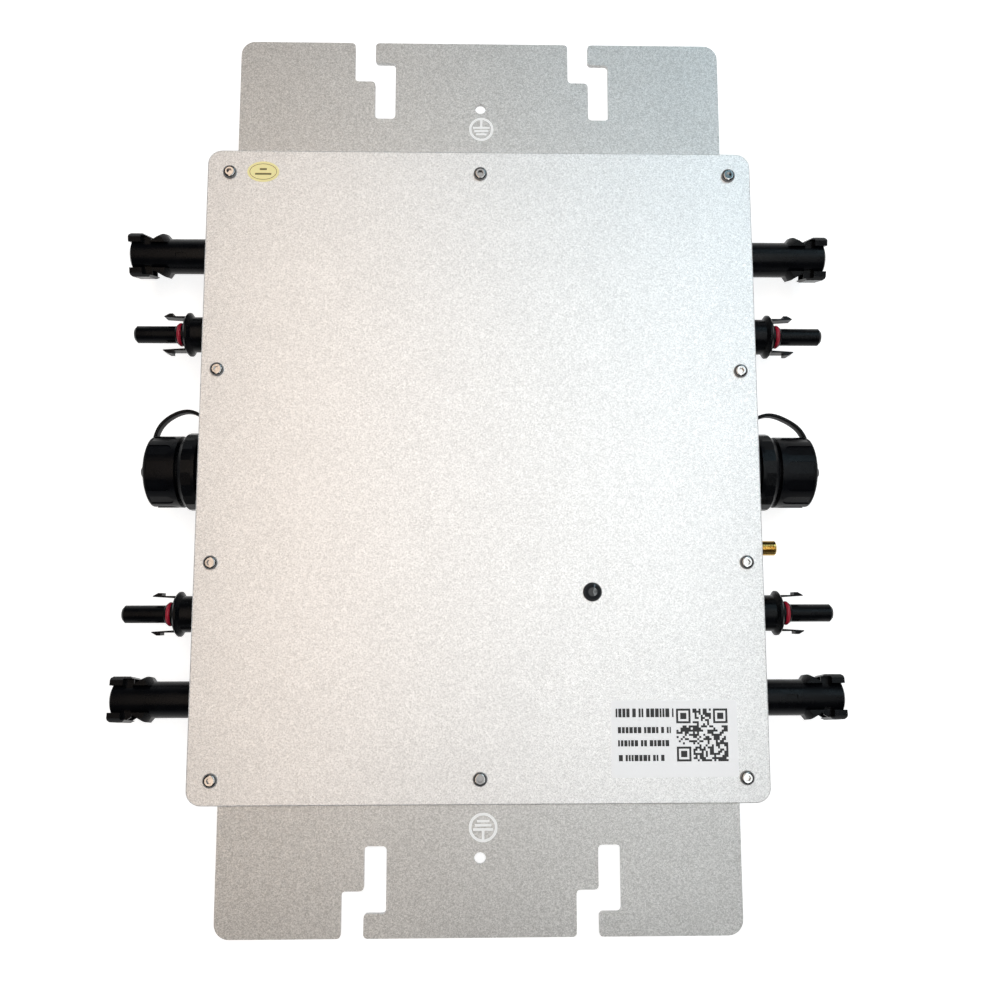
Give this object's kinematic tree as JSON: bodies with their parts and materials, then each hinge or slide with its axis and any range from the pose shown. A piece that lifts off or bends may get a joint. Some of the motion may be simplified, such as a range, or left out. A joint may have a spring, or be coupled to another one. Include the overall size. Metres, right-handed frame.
{
  "type": "micro inverter",
  "caption": "Flat silver box that turns solar panels' direct current into mains current, with sealed side connectors and slotted mounting plates at both ends.",
  "frame": {"origin": "centre of the back face of the box", "axes": "+X to the right side with the antenna jack, +Y to the upper mounting plate, +Z out of the lid"},
  "size_m": [0.3028, 0.37, 0.0423],
  "materials": {
    "housing_aluminium": "cast, fine powder coat",
    "lid_coat": "silver sparkle powder coat",
    "plate_coat": "silver sparkle powder coat",
    "seal_rubber": "matt",
    "red_rubber": "matt",
    "tether_rubber": "satin",
    "screw_steel": "polished",
    "black_plastic": "moulded satin",
    "cap_plastic": "moulded satin",
    "contact_metal": "tinned",
    "brass": "turned",
    "white_insulator": "smooth",
    "light_cover_plastic": "glossy",
    "diode_plastic": "glossy",
    "label_film": "satin",
    "sticker_film": "satin",
    "board_laminate": "solder mask",
    "transformer_ferrite": "matt",
    "capacitor_sleeve": "glossy",
    "film_capacitor_case": "glossy",
    "package_epoxy": "matt",
    "silicone_pad": "matt",
    "relay_case": "glossy",
    "wire_insulation": "satin",
    "shield_steel": "tinned"
  },
  "bodies": {
    "inverter": {"base_housing": "housing_aluminium", "lid_plate": "lid_coat", "lid_gasket": "seal_rubber", "upper_mounting_plate": "plate_coat", "lower_mounting_plate": "plate_coat", "lid_screws": "screw_steel", "mounting_plate_screws": "screw_steel", "status_light_cover": "light_cover_plastic", "status_led": "diode_plastic", "rating_label": "label_film", "inspection_sticker": "sticker_film", "dc_socket_contacts": "contact_metal", "dc_plug_contacts": "contact_metal", "dc_plug_o_rings": "red_rubber", "dc_connector_gaskets": "seal_rubber", "dc_connector_nuts": "black_plastic", "ac_connector_nuts": "black_plastic", "ac_contact_inserts": "black_plastic", "ac_connector_gaskets": "seal_rubber", "antenna_jack": "brass", "antenna_jack_insulator": "white_insulator", "antenna_jack_nut": "brass", "main_circuit_board": "board_laminate", "circuit_board_screws": "screw_steel", "flyback_transformers": "transformer_ferrite", "electrolytic_capacitors": "capacitor_sleeve", "film_capacitors": "film_capacitor_case", "power_transistors": "package_epoxy", "thermal_pads": "silicone_pad", "filter_choke": "transformer_ferrite", "output_relay": "relay_case", "controller_chip": "package_epoxy", "wireless_module": "shield_steel", "dc_wires": "wire_insulation", "ac_wires": "wire_insulation", "antenna_lead": "seal_rubber", "left_ac_connector": "black_plastic", "left_upper_dc_socket": "black_plastic", "left_upper_dc_plug": "black_plastic", "left_lower_dc_socket": "black_plastic", "left_lower_dc_plug": "black_plastic", "right_ac_connector": "black_plastic", "right_upper_dc_socket": "black_plastic", "right_upper_dc_plug": "black_plastic", "right_lower_dc_socket": "black_plastic", "right_lower_dc_plug": "black_plastic"},
    "left_tether_end": {"left_ac_cap_tether": "tether_rubber"},
    "left_cap": {"left_ac_cap": "cap_plastic"},
    "right_tether_end": {"right_ac_cap_tether": "tether_rubber"},
    "right_cap": {"right_ac_cap": "cap_plastic"},
    "left_upper_dc_plug_latch_a": {"left_upper_dc_plug_latch_a": "black_plastic"},
    "left_upper_dc_plug_latch_b": {"left_upper_dc_plug_latch_b": "black_plastic"},
    "left_lower_dc_plug_latch_a": {"left_lower_dc_plug_latch_a": "black_plastic"},
    "left_lower_dc_plug_latch_b": {"left_lower_dc_plug_latch_b": "black_plastic"},
    "right_upper_dc_plug_latch_a": {"right_upper_dc_plug_latch_a": "black_plastic"},
    "right_upper_dc_plug_latch_b": {"right_upper_dc_plug_latch_b": "black_plastic"},
    "right_lower_dc_plug_latch_a": {"right_lower_dc_plug_latch_a": "black_plastic"},
    "right_lower_dc_plug_latch_b": {"right_lower_dc_plug_latch_b": "black_plastic"}
  },
  "joints": [
    {"name": "left_cap_travel", "type": "slide", "parent": "inverter", "child": "left_tether_end", "axis": [-1, 0, 0], "range_m": [0, 0.01], "deforming": ["left_ac_cap_tether"]},
    {"name": "left_cap_turn", "type": "hinge", "parent": "left_tether_end", "child": "left_cap", "pos_m": [-0.1262, 0, 0.02], "axis": [-1, 0, 0], "range_deg": [0, 1440]},
    {"name": "right_cap_travel", "type": "slide", "parent": "inverter", "child": "right_tether_end", "axis": [1, 0, 0], "range_m": [0, 0.01], "deforming": ["right_ac_cap_tether"]},
    {"name": "right_cap_turn", "type": "hinge", "parent": "right_tether_end", "child": "right_cap", "pos_m": [0.1262, 0, 0.02], "axis": [1, 0, 0], "range_deg": [0, 1440]},
    {"name": "left_upper_dc_plug_latch_a_flex", "type": "hinge", "parent": "inverter", "child": "left_upper_dc_plug_latch_a", "pos_m": [-0.1273, 0.0531, 0.02], "axis": [0, 0, -1], "range_deg": [0, 6], "stiffness_Nm_per_rad": 0.5},
    {"name": "left_upper_dc_plug_latch_b_flex", "type": "hinge", "parent": "inverter", "child": "left_upper_dc_plug_latch_b", "pos_m": [-0.1273, 0.0673, 0.02], "axis": [0, 0, 1], "range_deg": [0, 6], "stiffness_Nm_per_rad": 0.5},
    {"name": "left_lower_dc_plug_latch_a_flex", "type": "hinge", "parent": "inverter", "child": "left_lower_dc_plug_latch_a", "pos_m": [-0.1273, -0.0673, 0.02], "axis": [0, 0, -1], "range_deg": [0, 6], "stiffness_Nm_per_rad": 0.5},
    {"name": "left_lower_dc_plug_latch_b_flex", "type": "hinge", "parent": "inverter", "child": "left_lower_dc_plug_latch_b", "pos_m": [-0.1273, -0.0531, 0.02], "axis": [0, 0, 1], "range_deg": [0, 6], "stiffness_Nm_per_rad": 0.5},
    {"name": "right_upper_dc_plug_latch_a_flex", "type": "hinge", "parent": "inverter", "child": "right_upper_dc_plug_latch_a", "pos_m": [0.1273, 0.0673, 0.02], "axis": [0, 0, -1], "range_deg": [0, 6], "stiffness_Nm_per_rad": 0.5},
    {"name": "right_upper_dc_plug_latch_b_flex", "type": "hinge", "parent": "inverter", "child": "right_upper_dc_plug_latch_b", "pos_m": [0.1273, 0.0531, 0.02], "axis": [0, 0, 1], "range_deg": [0, 6], "stiffness_Nm_per_rad": 0.5},
    {"name": "right_lower_dc_plug_latch_a_flex", "type": "hinge", "parent": "inverter", "child": "right_lower_dc_plug_latch_a", "pos_m": [0.1273, -0.0531, 0.02], "axis": [0, 0, -1], "range_deg": [0, 6], "stiffness_Nm_per_rad": 0.5},
    {"name": "right_lower_dc_plug_latch_b_flex", "type": "hinge", "parent": "inverter", "child": "right_lower_dc_plug_latch_b", "pos_m": [0.1273, -0.0673, 0.02], "axis": [0, 0, 1], "range_deg": [0, 6], "stiffness_Nm_per_rad": 0.5}
  ],
  "couplings": [
    {"joint": "left_cap_turn", "follows": "left_cap_travel", "rad_per_m": 2513.3},
    {"joint": "right_cap_turn", "follows": "right_cap_travel", "rad_per_m": 2513.3}
  ]
}
